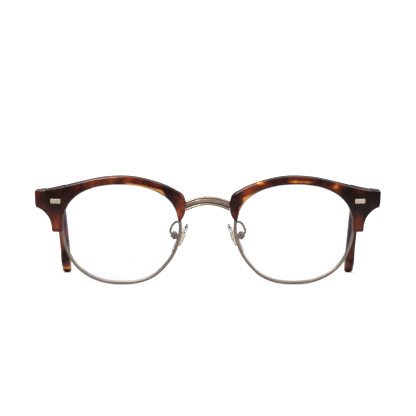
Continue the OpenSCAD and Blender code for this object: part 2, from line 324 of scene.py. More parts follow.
def rounded_box(lo, hi, r, seg=3):
    """A box with rounded edges, as points and faces."""
    bm = bmesh.new()
    bmesh.ops.create_cube(bm, size=1.0)
    lo, hi = np.array(lo, float), np.array(hi, float)
    for v in bm.verts:
        v.co = Vector(lo + (np.array(v.co) + 0.5) * (hi - lo))
    bmesh.ops.bevel(bm, geom=bm.edges[:], offset=r, segments=seg, profile=0.5, affect="EDGES")
    bm.verts.ensure_lookup_table()
    v = np.array([p.co[:] for p in bm.verts])
    f = [tuple(p.index for p in face.verts) for face in bm.faces]
    bm.free()
    return v, f


def lathe(profile, sides=48):
    """A turned piece round local Z from (radius, height) points, first and last on or off the axis."""
    a = np.linspace(0, 2 * np.pi, sides, endpoint=False)
    verts, faces = [], []
    for r, z in profile:
        verts += [[r * math.cos(x), r * math.sin(x), z] for x in a]
    for i in range(len(profile) - 1):
        for j in range(sides):
            k = (j + 1) % sides
            faces.append((i * sides + j, i * sides + k, (i + 1) * sides + k, (i + 1) * sides + j))
    faces.append(tuple(reversed(range(sides))))
    faces.append(tuple((len(profile) - 1) * sides + j for j in range(sides)))
    return np.array(verts), faces


# ---------------------------------------------------------------- materials
def material(name):
    m = bpy.data.materials.new(name)
    m.use_nodes = True
    nt = m.node_tree
    nt.nodes.clear()
    out = nt.nodes.new("ShaderNodeOutputMaterial")
    return m, nt, out


def add(nt, kind, **values):
    n = nt.nodes.new(kind)
    for key, value in values.items():
        if hasattr(n, key) and key not in ("Scale",):
            setattr(n, key, value)
    return n


def noise(nt, vec, scale, detail=3.0, rough=0.5, distortion=0.0):
    n = nt.nodes.new("ShaderNodeTexNoise")
    n.inputs["Scale"].default_value = scale
    n.inputs["Detail"].default_value = detail
    n.inputs["Roughness"].default_value = rough
    n.inputs["Distortion"].default_value = distortion
    nt.links.new(vec, n.inputs["Vector"])
    return n.outputs["Fac"]


def ramp(nt, fac, stops, interp="EASE"):
    n = nt.nodes.new("ShaderNodeValToRGB")
    n.color_ramp.interpolation = interp
    el = n.color_ramp.elements
    while len(el) < len(stops):
        el.new(0.5)
    for e, (p, c) in zip(el, stops):
        e.position = p
        e.color = (*c, 1.0) if len(c) == 3 else c
    nt.links.new(fac, n.inputs["Fac"])
    return n.outputs["Color"]


def math_node(nt, op, a, b=None, clamp=False):
    n = nt.nodes.new("ShaderNodeMath")
    n.operation = op
    n.use_clamp = clamp
    for i, x in enumerate((a, b)):
        if x is None:
            continue
        if isinstance(x, (int, float)):
            n.inputs[i].default_value = x
        else:
            nt.links.new(x, n.inputs[i])
    return n.outputs[0]


def mix(nt, fac, a, b):
    n = nt.nodes.new("ShaderNodeMix")
    n.data_type = "RGBA"
    for key, x in ((0, fac), (6, a), (7, b)):
        if isinstance(x, (int, float)):
            n.inputs[key].default_value = x
        elif isinstance(x, tuple):
            n.inputs[key].default_value = (*x, 1.0)
        else:
            nt.links.new(x, n.inputs[key])
    return n.outputs[2]


def attribute(nt, name):
    n = nt.nodes.new("ShaderNodeAttribute")
    n.attribute_name = name
    return n.outputs["Fac"]


def bump(nt, height, strength, distance_m):
    n = nt.nodes.new("ShaderNodeBump")
    n.inputs["Strength"].default_value = strength
    n.inputs["Distance"].default_value = distance_m
    nt.links.new(height, n.inputs["Height"])
    return n.outputs["Normal"]


def tortoise(name, seed, stretch=(1.0, 1.0, 1.0)):
    m, nt, out = material(name)
    tc = nt.nodes.new("ShaderNodeTexCoord")
    mp = nt.nodes.new("ShaderNodeMapping")
    mp.inputs["Location"].default_value = seed
    mp.inputs["Scale"].default_value = stretch
    nt.links.new(tc.outputs["Object"], mp.inputs["Vector"])
    v = mp.outputs["Vector"]
    big = noise(nt, v, 95.0, 1.5, 0.4, 0.6)
    mid = noise(nt, v, 260.0, 3.0, 0.55, 0.5)
    fine = noise(nt, v, 1400.0, 3.0, 0.6)
    streak = nt.nodes.new("ShaderNodeMapping")
    streak.inputs["Rotation"].default_value = (0.0, 0.5, 0.0)
    streak.inputs["Scale"].default_value = (1.0, 1.0, 0.28)
    nt.links.new(v, streak.inputs["Vector"])
    veil = noise(nt, streak.outputs["Vector"], 620.0, 3.0, 0.55, 0.6)
    # dark mottling over red-brown
    f = math_node(nt, "ADD", big, math_node(nt, "MULTIPLY", math_node(nt, "SUBTRACT", mid, 0.5), 0.55))
    f = math_node(nt, "ADD", f, math_node(nt, "MULTIPLY", math_node(nt, "SUBTRACT", veil, 0.5), 0.38))
    f = math_node(nt, "SUBTRACT", f, math_node(nt, "MULTIPLY", attribute(nt, "dark"), 0.16))
    f = math_node(nt, "ADD", f, math_node(nt, "MULTIPLY", attribute(nt, "warm"), 0.16))
    body = ramp(nt, f, [(0.24, (0.0085, 0.0026, 0.0020)), (0.42, (0.024, 0.0052, 0.0034)), (0.60, (0.082, 0.0130, 0.0062)),
                        (0.82, (0.19, 0.034, 0.010))])
    # amber windows, and on the brows a painted glow of light along the inner edge
    g = math_node(nt, "ADD", attribute(nt, "amber_and_painted_glow"), math_node(nt, "MULTIPLY", math_node(nt, "SUBTRACT", mid, 0.5), 1.1))
    g = math_node(nt, "ADD", g, math_node(nt, "MULTIPLY", math_node(nt, "SUBTRACT", big, 0.62), 0.6))
    amber_and_painted_glow = ramp(nt, g, [(0.0, (0.17, 0.028, 0.008)), (0.55, (0.36, 0.085, 0.012)), (1.0, (0.66, 0.25, 0.022))])
    amt = ramp(nt, g, [(0.22, (0, 0, 0)), (0.75, (1, 1, 1))])
    col = mix(nt, amt, body, amber_and_painted_glow)
    p = nt.nodes.new("ShaderNodeBsdfPrincipled")
    nt.links.new(col, p.inputs["Base Color"])
    p.inputs["IOR"].default_value = 1.49
    p.inputs["Coat Weight"].default_value = 0.1
    p.inputs["Coat Roughness"].default_value = 0.04
    r = math_node(nt, "ADD", math_node(nt, "MULTIPLY", fine, 0.07), 0.05)
    nt.links.new(r, p.inputs["Roughness"])
    nt.links.new(bump(nt, mid, 0.05, 0.0002), p.inputs["Normal"])
    nt.links.new(p.outputs[0], out.inputs["Surface"])
    return m


def metal(name, base, deep, rough, scale=900.0, brushed=(1, 1, 1), grain=0.10, cavity=True, metallic=1.0):
    m, nt, out = material(name)
    tc = nt.nodes.new("ShaderNodeTexCoord")
    mp = nt.nodes.new("ShaderNodeMapping")
    mp.inputs["Scale"].default_value = brushed
    nt.links.new(tc.outputs["Object"], mp.inputs["Vector"])
    v = mp.outputs["Vector"]
    n1 = noise(nt, v, scale, 4.0, 0.6)
    n2 = noise(nt, v, scale * 0.12, 3.0, 0.5)
    shade = math_node(nt, "ADD", math_node(nt, "MULTIPLY", n1, 0.45), math_node(nt, "MULTIPLY", n2, 0.55))
    col = ramp(nt, shade, [(0.30, tuple(0.72 * x for x in base)), (0.70, base)], "LINEAR")
    if cavity:
        col = mix(nt, attribute(nt, "cav"), col, deep)
    p = nt.nodes.new("ShaderNodeBsdfPrincipled")
    nt.links.new(col, p.inputs["Base Color"])
    p.inputs["Metallic"].default_value = metallic
    r = math_node(nt, "ADD", math_node(nt, "MULTIPLY", n1, grain), rough)
    if cavity:
        r = math_node(nt, "ADD", r, math_node(nt, "MULTIPLY", attribute(nt, "cav"), 0.25), True)
    nt.links.new(r, p.inputs["Roughness"])
    nt.links.new(bump(nt, n1, 0.12, 0.00006), p.inputs["Normal"])
    nt.links.new(p.outputs[0], out.inputs["Surface"])
    return m


def lens_material():
    m, nt, out = material("lens_coated")
    tc = nt.nodes.new("ShaderNodeTexCoord")
    n = noise(nt, tc.outputs["Object"], 40.0, 2.0, 0.5)
    fr = nt.nodes.new("ShaderNodeFresnel")
    fr.inputs["IOR"].default_value = 1.5
    tr = nt.nodes.new("ShaderNodeBsdfTransparent")
    tr.inputs["Color"].default_value = (0.985, 0.99, 0.995, 1)
    gl = nt.nodes.new("ShaderNodeBsdfGlossy")
    nt.links.new(ramp(nt, n, [(0.38, (0.27, 0.41, 0.86)), (0.62, (0.44, 0.40, 0.52))]), gl.inputs["Color"])
    gl.inputs["Roughness"].default_value = 0.015
    mx = nt.nodes.new("ShaderNodeMixShader")
    fac = math_node(nt, "ADD", math_node(nt, "MULTIPLY", fr.outputs[0], 0.25), 0.11)
    nt.links.new(fac, mx.inputs[0])
    nt.links.new(tr.outputs[0], mx.inputs[1])
    nt.links.new(gl.outputs[0], mx.inputs[2])
    nt.links.new(mx.outputs[0], out.inputs["Surface"])
    return m


def silicone_material():
    m, nt, out = material("pad_silicone")
    tc = nt.nodes.new("ShaderNodeTexCoord")
    n = noise(nt, tc.outputs["Object"], 700.0, 3.0, 0.5)
    p = nt.nodes.new("ShaderNodeBsdfPrincipled")
    nt.links.new(ramp(nt, n, [(0.3, (0.74, 0.73, 0.70)), (0.7, (0.86, 0.85, 0.82))]), p.inputs["Base Color"])
    p.inputs["Transmission Weight"].default_value = 0.92
    p.inputs["IOR"].default_value = 1.41
    nt.links.new(math_node(nt, "ADD", math_node(nt, "MULTIPLY", n, 0.08), 0.03), p.inputs["Roughness"])
    nt.links.new(bump(nt, n, 0.08, 0.0001), p.inputs["Normal"])
    nt.links.new(p.outputs[0], out.inputs["Surface"])
    return m


TORTOISE = {1: tortoise("acetate_tortoise_left", (0.013, 0.0, 0.004)), -1: tortoise("acetate_tortoise_right", (0.031, 0.0, 0.017))}
TEMPLE_MAT = {1: tortoise("acetate_temple_left", (0.3, 0.0, 0.1), (1.6, 0.55, 1.0)),
              -1: tortoise("acetate_temple_right", (0.7, 0.02, 0.06), (1.6, 0.55, 1.0))}
PEWTER = metal("metal_pewter_engraved", (0.72, 0.56, 0.445), (0.13, 0.09, 0.06), 0.24, metallic=0.85)
POLISHED = metal("metal_polished", (0.80, 0.655, 0.54), (0.10, 0.08, 0.06), 0.18, 1200.0, cavity=False, metallic=0.9)
CHAMPAGNE = metal("metal_champagne", (0.86, 0.70, 0.55), (0.2, 0.15, 0.1), 0.34, 1500.0, (1, 1, 0.12), 0.2, cavity=False, metallic=0.65)
STEEL = metal("metal_steel", (0.50, 0.43, 0.37), (0.1, 0.1, 0.1), 0.22, 1600.0, (1, 0.15, 1), 0.15, cavity=False)
PADCORE = metal("metal_pad_core", (0.80, 0.68, 0.57), (0.1, 0.1, 0.1), 0.2, 1500.0, cavity=False)
GOLD = metal("metal_gold_core", (0.72, 0.55, 0.28), (0.2, 0.15, 0.1), 0.2, 1200.0, cavity=False)
LENS = lens_material()
SILICONE = silicone_material()


# ---------------------------------------------------------------- acetate brows
def blobs(q, spots):
    """Sum of soft spots (u, z, half width, half height, strength)."""
    out = np.zeros(len(q))
    for u, z, a, b, s in spots:
        out += s * np.exp(-(((q[:, 0] - u) / a) ** 2 + ((q[:, 1] - z) / b) ** 2))
    return out


BROW_AMBER = {
    1: [(21.5, 42.4, 2.6, 0.9, 1.0), (15.8, 36.0, 2.2, 1.2, 0.9), (35, 42.9, 4.0, 0.45, 0.8), (41, 42.6, 3.0, 0.7, 0.75),
        (52.5, 40.9, 1.8, 1.6, 0.8), (62.3, 23.2, 2.0, 1.2, 0.25), (12.6, 33.0, 1.0, 2.0, 0.3)],
    -1: [(20.0, 39.0, 2.6, 0.9, 0.9), (36, 44.2, 2.2, 0.7, 0.35), (27.5, 43.0, 2.0, 0.5, 0.25), (12.4, 30.4, 1.2, 2.6, 0.5),
         (61.8, 23.6, 1.4, 2.0, 0.25)]}
BROW_DARK = {
    1: [(63, 35.5, 10, 8, 1.15), (30, 44, 5, 3, 0.3), (46.5, 43, 4, 3, 0.55), (10.5, 34.5, 3, 4, 0.55)],
    -1: [(62, 35.5, 11, 8, 1.1), (31, 43.5, 4, 2.4, 0.35), (13.5, 37.5, 5, 4, 0.5), (44, 43.2, 4, 2.4, 0.3)]}
BROW_WARM = {
    1: [(17, 39, 4, 3, 0.8), (26, 43, 4, 2, 0.8), (37, 44, 5, 1.6, 0.9), (52, 41, 3, 2, 0.9), (62, 24, 3, 3, 0.9), (12, 29, 2, 2, 0.6), (67, 32, 2, 2, 0.4)],
    -1: [(36, 44, 5, 2, 1.0), (24, 42.5, 5, 2, 0.8), (47, 42, 4, 2, 0.8), (62, 25, 2.4, 4, 0.9), (11.5, 30, 2, 3, 0.9), (68, 38, 2.5, 1.2, 0.7)]}


def make_brow(side, name):
    q = np.vstack([open_run(BROW_TOP, 12)[:-1], [[70.6, 38.7]], [[70.95, 38.58]], open_run(BROW_OUT, 8), [[64.05, 21.8]],
                   open_run([[63.8, 21.7], [62.05, 21.69], [60.3, 21.7]], 6), [[60.05, 21.85]], [[59.92, 22.1]], open_run(BROW_IN, 12)])
    q, _ = resample(q, 0.42)
    area = 0.5 * np.sum(q[:, 0] * np.roll(q[:, 1], -1) - np.roll(q[:, 0], -1) * q[:, 1])
    if area < 0:
        q = q[::-1].copy()
    inner_line = open_run(BROW_IN, 8)
    rim_a, rim_b = inset(RIM, -0.07), inset(RIM, 0.0)
    zs = np.arange(26.6, 42, 0.4)
    lines = [rim_a, rim_b]
    for u in (59.02, 59.12, 59.25, 67.03, 67.13):
        lines.append(np.column_stack([np.full(len(zs), u), zs]))
    us = np.arange(59.2, 71.5, 0.4)
    for z in (26.44, 26.54, 31.66, 31.76, 37.76, 37.86):
        lines.append(np.column_stack([us, np.full(len(us), z)]))
    extra = np.vstack(lines)

    def radius(v):
        # softer along the inner edge, crisp at the foot and end block
        r = 0.85 + 0.25 * smooth(1.4, 0.2, distance(v, inner_line, False)[0])
        r = np.minimum(r, 0.35 + 0.8 * smooth(21.7, 25.5, v[:, 1]))
        r = np.minimum(r, 0.95 - 0.35 * smooth(66, 70, v[:, 0]))
        return r

    def front(v, d, w):
        return surf(v, -BROW_F) + round_edge(d, radius(v))

    def back(v, d, w):
        y = surf(v, BROW_B)
        x1 = v[:, 0] - P[0]
        zz = (v[:, 1] - P[2])
        # planes square to the hinge: y' = c, so Y = P_y + (c + z sin) / cos
        tan = math.tan(math.radians(TILT))
        seat = P[1] + SEAT / math.cos(math.radians(TILT)) + zz * tan
        butt = P[1] - 0.1 / math.cos(math.radians(TILT)) + zz * tan
        blk = (v[:, 0] > 59.07) & (v[:, 1] > 26.49)
        y = np.where(blk & (v[:, 0] <= 67.08), np.maximum(y, seat), y)
        y = np.where(blk & (v[:, 0] > 67.08), np.maximum(y, butt), y)
        leafed = (v[:, 0] > 59.2) & (v[:, 0] <= 67.08) & (np.abs(zz - 0.26) < 3.05)
        y = np.where(leafed, seat, y)
        shell = inside(v, inset(RIM, -0.035))
        y = np.where(shell, surf(v, -1.06), y)
        return y - np.where(shell, 0.0, round_edge(d, 0.45))
    flat, faces, d, w, n = plate(q, 0.62, [0.035, 0.09, 0.17, 0.28, 0.42, 0.6, 0.82, 1.08], front, back, extra)
    q2 = flat[:, :2]
    verts = row(np.column_stack([flat[:, 0], flat[:, 2], flat[:, 1]]), side)
    isback = np.arange(len(flat)) >= n
    din = distance(q2, inner_line, False)[0]
    # painted highlight: a band of amber light along the brow's lower inner edge, painted in only over the stretch that
    # lit picks out
    painted_edge_glow = 1.25 * np.exp(-(din / 0.85) ** 2)
    lit = smooth(15, 19, q2[:, 0]) * smooth(36, 31, q2[:, 0]) if side < 0 else 0.6 * smooth(11, 13, q2[:, 0]) * smooth(20, 17, q2[:, 0])
    amber_and_painted_glow = blobs(q2, BROW_AMBER[side]) + painted_edge_glow * lit * (q2[:, 1] > 30)
    dark, warm = blobs(q2, BROW_DARK[side]), blobs(q2, BROW_WARM[side])
    ob = new_mesh(name, verts, faces, side, attrs={"amber_and_painted_glow": amber_and_painted_glow, "dark": dark, "warm": warm})
    return finish_piece(ob, "front", "tortoise_acetate", TORTOISE[side], name.replace("piece_", ""))


# ---------------------------------------------------------------- metal eyewires, finely milled on the front and outside
def make_eyewire(side, name):
    q = RIM
    start = int(np.argmin(np.abs(q[:, 0] - 60.7) + 3 * np.abs(q[:, 1] - 25.8)))
    q = np.roll(q, -start, 0)
    path, s = resample(q, 0.165, closed=True)
    t = np.roll(path, -2, 0) - np.roll(path, 2, 0)
    t /= np.linalg.norm(t, axis=1)[:, None]
    nrm = np.stack([-t[:, 1], t[:, 0]], 1)
    # (inset from the outer edge, depth from the middle), round the section
    prof = np.array([[0.0, 0.55], [0.0, 0.1], [0.0, -0.35], [0.02, -0.62], [0.11, -0.82], [0.27, -0.95], [0.47, -1.0],
                     [0.66, -1.0], [0.86, -1.0], [1.06, -0.94], [1.2, -0.82], [1.28, -0.64], [1.3, -0.46], [0.82, -0.44],
                     [0.82, 0.44], [1.3, 0.46], [1.28, 0.75], [1.16, 0.93], [0.95, 1.0], [0.35, 1.0], [0.12, 0.92], [0.02, 0.76]])
    front = np.clip(-prof[:, 1] / 1.0, 0, 1) ** 0.6 * (prof[:, 0] < 1.25)
    front[13:] = 0
    keep = slice(1, len(path) - 2)
    idx = np.arange(len(path))[keep]
    L = s[-1]

    def ring(i):
        k = idx[i]
        phase = 2 * np.pi * (s[k] / 0.92) + prof[:, 0] * 2.6 + prof[:, 1] * 1.2
        cut = 0.5 - 0.5 * np.cos(phase)
        cut = cut ** 0.7
        amp = 0.085 * front * cut
        d = prof[:, 0] + amp * 0.6 * (prof[:, 0] < 0.4) - amp * 0.3 * (prof[:, 0] > 1.0)
        off = prof[:, 1] + amp * 0.9
        p2 = path[k] + d[:, None] * nrm[k]
        return np.column_stack([p2[:, 0], surf_v(p2, off), p2[:, 1]])

    def surf_v(p2, off):
        return C[1] - np.sqrt((R - off) ** 2 - (p2[:, 0] - C[0]) ** 2 - (p2[:, 1] - C[2]) ** 2)

    verts, faces = sweep(idx, ring)
    cav = []
    for k in idx:
        phase = 2 * np.pi * (s[k] / 0.92) + prof[:, 0] * 2.6 + prof[:, 1] * 1.2
        cut = 0.5 - 0.5 * np.cos(phase)
        cav.append(np.clip(front * cut ** 2 * 0.75, 0, 1) + np.where(np.abs(prof[:, 1]) < 0.5, 0.15, 0) * (prof[:, 0] > 0.5))
    ob = new_mesh(name, row(verts, side), faces, side, attrs={"cav": np.clip(np.concatenate(cav), 0, 1)})
    return finish_piece(ob, "front", "pewter", PEWTER, name.replace("piece_", ""))


# ---------------------------------------------------------------- lenses
def make_lens(side, name):
    q, _ = resample(inset(RIM, 0.92), 0.7)

    def half(d):
        return 0.36 + 0.59 * smooth(0.40, 0.50, d)

    def front(v, d, w):
        h = half(d)
        return C[1] - np.sqrt((R + h) ** 2 - (v[:, 0] - C[0]) ** 2 - (v[:, 1] - C[2]) ** 2)

    def back(v, d, w):
        h = half(d)
        return C[1] - np.sqrt((R - h) ** 2 - (v[:, 0] - C[0]) ** 2 - (v[:, 1] - C[2]) ** 2)
    flat, faces, d, w, n = plate(q, 1.6, [0.2, 0.38, 0.42, 0.46, 0.5, 0.56, 0.9], front, back)
    ob = new_mesh(name, row(np.column_stack([flat[:, 0], flat[:, 2], flat[:, 1]]), side), faces, side)
    return finish_piece(ob, "front", "lens_clear", LENS, name.replace("piece_", ""))


# ---------------------------------------------------------------- bridge
def make_bridge(name):
    n = 121
    xs = np.linspace(-8.94, 8.94, n)
    # (height from bottom to top, depth) round the section: lower wire, groove, wide band, groove, upper wire, back
    prof = []
    for v, y in [(0.00, 0.3), (0.005, -0.35), (0.03, -0.62), (0.08, -0.83), (0.14, -0.9), (0.20, -0.84), (0.25, -0.66), (0.275, -0.42),
                 (0.30, -0.30), (0.335, -0.30), (0.355, -0.5), (0.375, -0.70), (0.41, -0.80), (0.48, -0.86), (0.56, -0.88),
                 (0.64, -0.86), (0.71, -0.80), (0.745, -0.70), (0.76, -0.5), (0.775, -0.42), (0.80, -0.44), (0.82, -0.62),
                 (0.86, -0.76), (0.90, -0.79), (0.95, -0.72), (0.985, -0.52), (1.0, -0.2), (1.0, 0.9), (0.985, 1.25), (0.93, 1.45),
                 (0.8, 1.5), (0.5, 1.5), (0.2, 1.5), (0.07, 1.45), (0.015, 1.25), (0.0, 0.9)]:
        prof.append((v, y))
    prof = np.array(prof)
    band = ((prof[:, 0] > 0.37) & (prof[:, 0] < 0.75) & (prof[:, 1] < -0.6)).astype(float)
    wire = (((prof[:, 0] < 0.26) | (prof[:, 0] > 0.81)) & (prof[:, 1] < -0.4)).astype(float)
    rings, cav = [], []
    for x in xs:
        a = abs(x) / 9.2
        zt = 36.7 - 2.1 * a * a
        zb = 33.1 - 2.6 * a * a
        v = prof[:, 0]
        # the section is shallower at the middle than at the ends, each band keeping its share of the height
        z = zb + (zt - zb) * v
        phase = 2 * np.pi * (x / 0.85) + v * 9.0
        cut = (0.5 - 0.5 * np.cos(phase)) ** 0.8
        rough_end = smooth(3.6, 6.2, abs(x))
        amp = 0.08 * cut * (band * rough_end + 0.35 * wire)
        y = prof[:, 1] + amp
        slope = math.atan2(-2 * 2.3 * x / 9.2 ** 2, 1.0)
        mid = (zt + zb) / 2
        # sections stand square to the arch
        dz = z - mid
        rings.append(np.column_stack([x - np.sin(slope) * dz * 0.55 * (1 - (x / 8.94) ** 2), y, mid + dz]))
        cav.append(np.clip(0.85 * cut * band * rough_end * 0.8 + ((prof[:, 1] > -0.56) & (prof[:, 1] < 0) & (v > 0.2) & (v < 0.85)) * 0.95 + 0.25 * wire * cut, 0, 1))
    verts, faces = sweep(xs, lambda i: rings[i])
    cav = list(np.concatenate(cav))
    parts = [(verts, faces)]
    for m in (1, -1):
        lo, hi = [8.25, 0.42, 31.65], [8.93, 2.58, 34.25]
        v, f = rounded_box(lo, hi, 0.15)
        parts.append((v * [m, 1, 1], f if m > 0 else [tuple(reversed(t)) for t in f]))
        v, f = rounded_box([8.3, 2.12, 31.65], [12.35, 2.82, 34.6], 0.12)
        parts.append((v * [m, 1, 1], f if m > 0 else [tuple(reversed(t)) for t in f]))
    v, f = merge(parts)
    cav += [0.0] * (len(v) - len(cav))
    ob = new_mesh(name, row(v, 1), f, 1, attrs={"cav": cav})
    return finish_piece(ob, "front", "pewter", PEWTER, "bridge")


# ---------------------------------------------------------------- plaques on the end blocks
def make_plaque(side, name):
    c, h, r = np.array([62.7, 34.42]), np.array([2.1, 0.925]), 0.18
    q = []
    for sx, sz, a0 in ((1, -1, -90), (1, 1, 0), (-1, 1, 90), (-1, -1, 180)):
        for a in np.linspace(a0, a0 + 90, 5):
            q.append(c + [sx * (h[0] - r), sz * (h[1] - r)] + r * np.array([math.cos(math.radians(a)), math.sin(math.radians(a))]))
    q, _ = resample(np.array(q), 0.12)
    flat, faces, d, w, n = plate(q, 0.18, [0.02, 0.05, 0.09, 0.14], lambda v, d, w: surf(v, -BROW_F - 0.30) + round_edge(d, 0.14),
                                 lambda v, d, w: surf(v, -BROW_F + 0.3))
    ob = new_mesh(name, row(np.column_stack([flat[:, 0], flat[:, 2], flat[:, 1]]), side), faces, side)
    return finish_piece(ob, "front", "champagne_metal", CHAMPAGNE, name.replace("piece_", ""))


# ---------------------------------------------------------------- temples
TEMPLE_AMBER = {
    1: [(126.6, -26.2, 3.2, 1.3, 1.25), (130.5, -33.0, 1.2, 1.0, 0.35), (126.8, -31.0, 1.8, 1.0, 0.7), (69, 1.6, 4, 1.3, 1.0), (30, 2.5, 5, 1.0, 0.5), (97, -6.5, 6, 1.2, 0.4), (110, -15, 6, 2, 0.3)],
    -1: [(128.2, -31.7, 1.8, 2.0, 1.35), (125.5, -26.3, 1.8, 0.8, 0.7), (56, 2.2, 4, 1.0, 1.0), (24, 2.2, 4, 0.9, 0.75), (44, 2.3, 3, 0.8, 0.6), (108, -11.0, 6, 1.2, 0.35)]}
TEMPLE_WARM = {
    1: [(12, 1.5, 8, 2, 0.8), (40, -3, 12, 2, 0.9), (75, -2, 10, 3, 0.8), (105, -10, 14, 4, 1.0)],
    -1: [(22, 2.4, 10, 1.6, 1.2), (20, -3, 12, 1.2, 1.0), (50, 2.2, 8, 1.6, 1.2), (60, -4, 10, 1.6, 0.8), (92, -3, 10, 3, 0.9), (108, -12, 12, 4, 1.0)]}


TEMPLE_DARK = {
    1: [(125.0, -28.8, 3.6, 1.1, 1.6), (119, -23, 4, 4, 1.0), (131, -31, 2.2, 3.0, 1.1), (104, -9, 8, 2.5, 0.5), (38, -1, 12, 2.5, 0.4), (60, 1, 6, 2, 0.5)],
    -1: [(121.5, -26.5, 4.0, 3.6, 1.5), (132, -33, 1.8, 2.0, 0.8), (130, -27.5, 2.0, 2.0, 0.6), (74, -3, 7, 2, 0.5), (36, 0, 8, 2, 0.5), (100, -6, 5, 2, 0.5)]}


def make_temple(side, name):
    def run(p, n):
        return open_run(np.array(p, float) * [KK, KK], n)
    q = np.vstack([run(TEMPLE_UP, 10), run(TEMPLE_EAR, 8), run(TEMPLE_TIP, 6), run(TEMPLE_LOW, 8), run(TEMPLE_BOT, 10)])
    q[np.abs(q[:, 0]) < 0.2, 0] = 0.1
    q, _ = resample(q, 0.55)
    area = 0.5 * np.sum(q[:, 0] * np.roll(q[:, 1], -1) - np.roll(q[:, 0], -1) * q[:, 1])
    if area < 0:
        q = q[::-1].copy()

    def radius(v, top):
        return 0.22 + (top - 0.22) * smooth(0.0, 5.0, v[:, 0])
    flat, faces, d, w, n = plate(q, 0.95, [0.04, 0.1, 0.2, 0.34, 0.52, 0.74, 1.02, 1.3],
                                 lambda v, d, w: LEAF + TEMPLE_T - round_edge(d, radius(v, 1.3)),
                                 lambda v, d, w: LEAF + round_edge(d, radius(v, 0.8)))
    verts = row(hinge(np.column_stack([flat[:, 2], flat[:, 0], flat[:, 1]])), side)
    q2 = flat[:, :2]
    core, _ = distance(q2, CORE, False)
    seen = smooth(0.7, 0.3, core) * smooth(84, 92, q2[:, 0]) * 0.5
    ob = new_mesh(name, verts, faces, -side, attrs={"amber_and_painted_glow": blobs(q2, TEMPLE_AMBER[side]) + seen, "dark": blobs(q2, TEMPLE_DARK[side]),
                                                    "warm": blobs(q2, TEMPLE_WARM[side])})
    return finish_piece(ob, f"temple_{'left' if side > 0 else 'right'}", "tortoise_acetate", TEMPLE_MAT[side], name.replace("piece_", ""))


# ---------------------------------------------------------------- pad arms, pads
def make_pad_arm(side, name):
    path = open_run([[11.3, 1.02, 25.5], [11.35, 2.2, 25.6], [12.2, 3.6, 25.7], [13.4, 5, 25.3],
                     [14.6, 6.2, 23.9], [15.4, 7.1, 22], [15.5, 7.5, 20.8], [14.8, 7.6, 20]], 8)
    parts = [tube(path, 0.45, 18)]
    # a small foot of solder on the eyewire
    foot = np.linspace(0, 1, 6)
    parts.append(tube(np.array([[11.3, 1.0, 25.5], [11.3, 1.15, 25.5], [11.31, 1.3, 25.52], [11.33, 1.5, 25.54], [11.34, 1.75, 25.56], [11.35, 1.95, 25.58]]),
                      0.62, 18, np.array([1.0, 0.98, 0.92, 0.84, 0.78, 0.72])))
    # two round-ended cheeks and the back of the pad box
    for y0, y1 in ((-1.4, -0.97), (0.97, 1.4)):
        q = []
        for a in np.linspace(-90, 90, 13):
            q.append([0.35 + 1.42 * math.cos(math.radians(a)), 1.58 * math.sin(math.radians(a))])
        for a in np.linspace(90, 270, 13):
            q.append([0.35 + 0.83 * math.cos(math.radians(a)), 1.58 * math.sin(math.radians(a))])
        q, _ = resample(np.array(q), 0.2)
        flat, faces, d, w, n = plate(q, 0.3, [0.03, 0.08, 0.13], lambda v, d, w: np.full(len(v), y0) + round_edge(d, 0.12),
                                     lambda v, d, w: np.full(len(v), y1) - round_edge(d, 0.12))
        parts.append((pad(np.column_stack([flat[:, 0], flat[:, 2], flat[:, 1]])), faces))
    v, f = rounded_box([1.32, -1.2, -1.25], [1.78, 1.2, 1.25], 0.12)
    parts.append((pad(v), f))
    v, f = merge(parts)
    ob = new_mesh(name, row(v, side), f, side)
    return finish_piece(ob, "front", "steel", POLISHED, name.replace("piece_", ""))


def make_nose_pad(side, name):
    a = np.linspace(0, 2 * np.pi, 96, endpoint=False)
    wd = 1 - 0.14 * np.sin(a)
    q = np.column_stack([PAD_W / 2 * np.cos(a) * wd, PAD_L / 2 * np.sin(a)])
    q, _ = resample(q, 0.4)

    def nose(v, d, w):
        dome = 24 - np.sqrt(24 ** 2 - v[:, 0] ** 2 - v[:, 1] ** 2)
        return PAD_X - PAD_T / 2 + dome + 0.62 * round_edge(d, 1.1)

    def rim(v, d, w):
        return PAD_X + PAD_T / 2 - 0.28 * round_edge(d, 0.9) - 0.12 * smooth(3.0, 0.6, np.hypot(v[:, 0], v[:, 1] * 0.6)) * 0
    flat, faces, d, w, n = plate(q, 0.55, [0.03, 0.08, 0.16, 0.28, 0.45, 0.68, 0.95], nose, rim)
    ob = new_mesh(name, row(pad(np.column_stack([flat[:, 2], flat[:, 0], flat[:, 1]])), side), faces, side)
    return finish_piece(ob, f"nose_pad_{'left' if side > 0 else 'right'}", "clear_silicone", SILICONE, name.replace("piece_", ""))


for side, word in ((1, "left"), (-1, "right")):
    make_brow(side, f"piece_brow_{word}")
    make_eyewire(side, f"piece_eyewire_{word}")
    make_lens(side, f"piece_lens_{word}")
    make_plaque(side, f"piece_plaque_{word}")
    make_temple(side, f"piece_temple_{word}")
    make_pad_arm(side, f"piece_pad_arm_{word}")
    make_nose_pad(side, f"piece_nose_pad_{word}")
make_bridge("piece_bridge")

# the small metal parts keep their CAD shape, with their edges broken
METALS = {"rim_lock": PEWTER, "front_hinge": STEEL, "hinge_screw": POLISHED, "pad_screw": POLISHED, "pad_core": PADCORE,
          "core_wire": GOLD, "temple_hinge": STEEL, "temple_rivets": POLISHED, "rim_lock_screws": POLISHED, "bridge_screws": POLISHED}
for n, ob in nodes.items():
    if ob.hide_render:
        continue
    base = n[:-5] if n.endswith("_left") else n[:-6] if n.endswith("_right") else n
    ob.data.materials.clear()
    ob.data.materials.append(METALS.get(base, STEEL))
    if base != "core_wire":
        w = ob.modifiers.new("weld", "WELD")
        w.merge_threshold = 0.000002
        b = ob.modifiers.new("edges", "BEVEL")
        b.width = 0.00005
        b.segments = 2
        b.limit_method = "ANGLE"
        b.angle_limit = math.radians(50)
        b.harden_normals = False

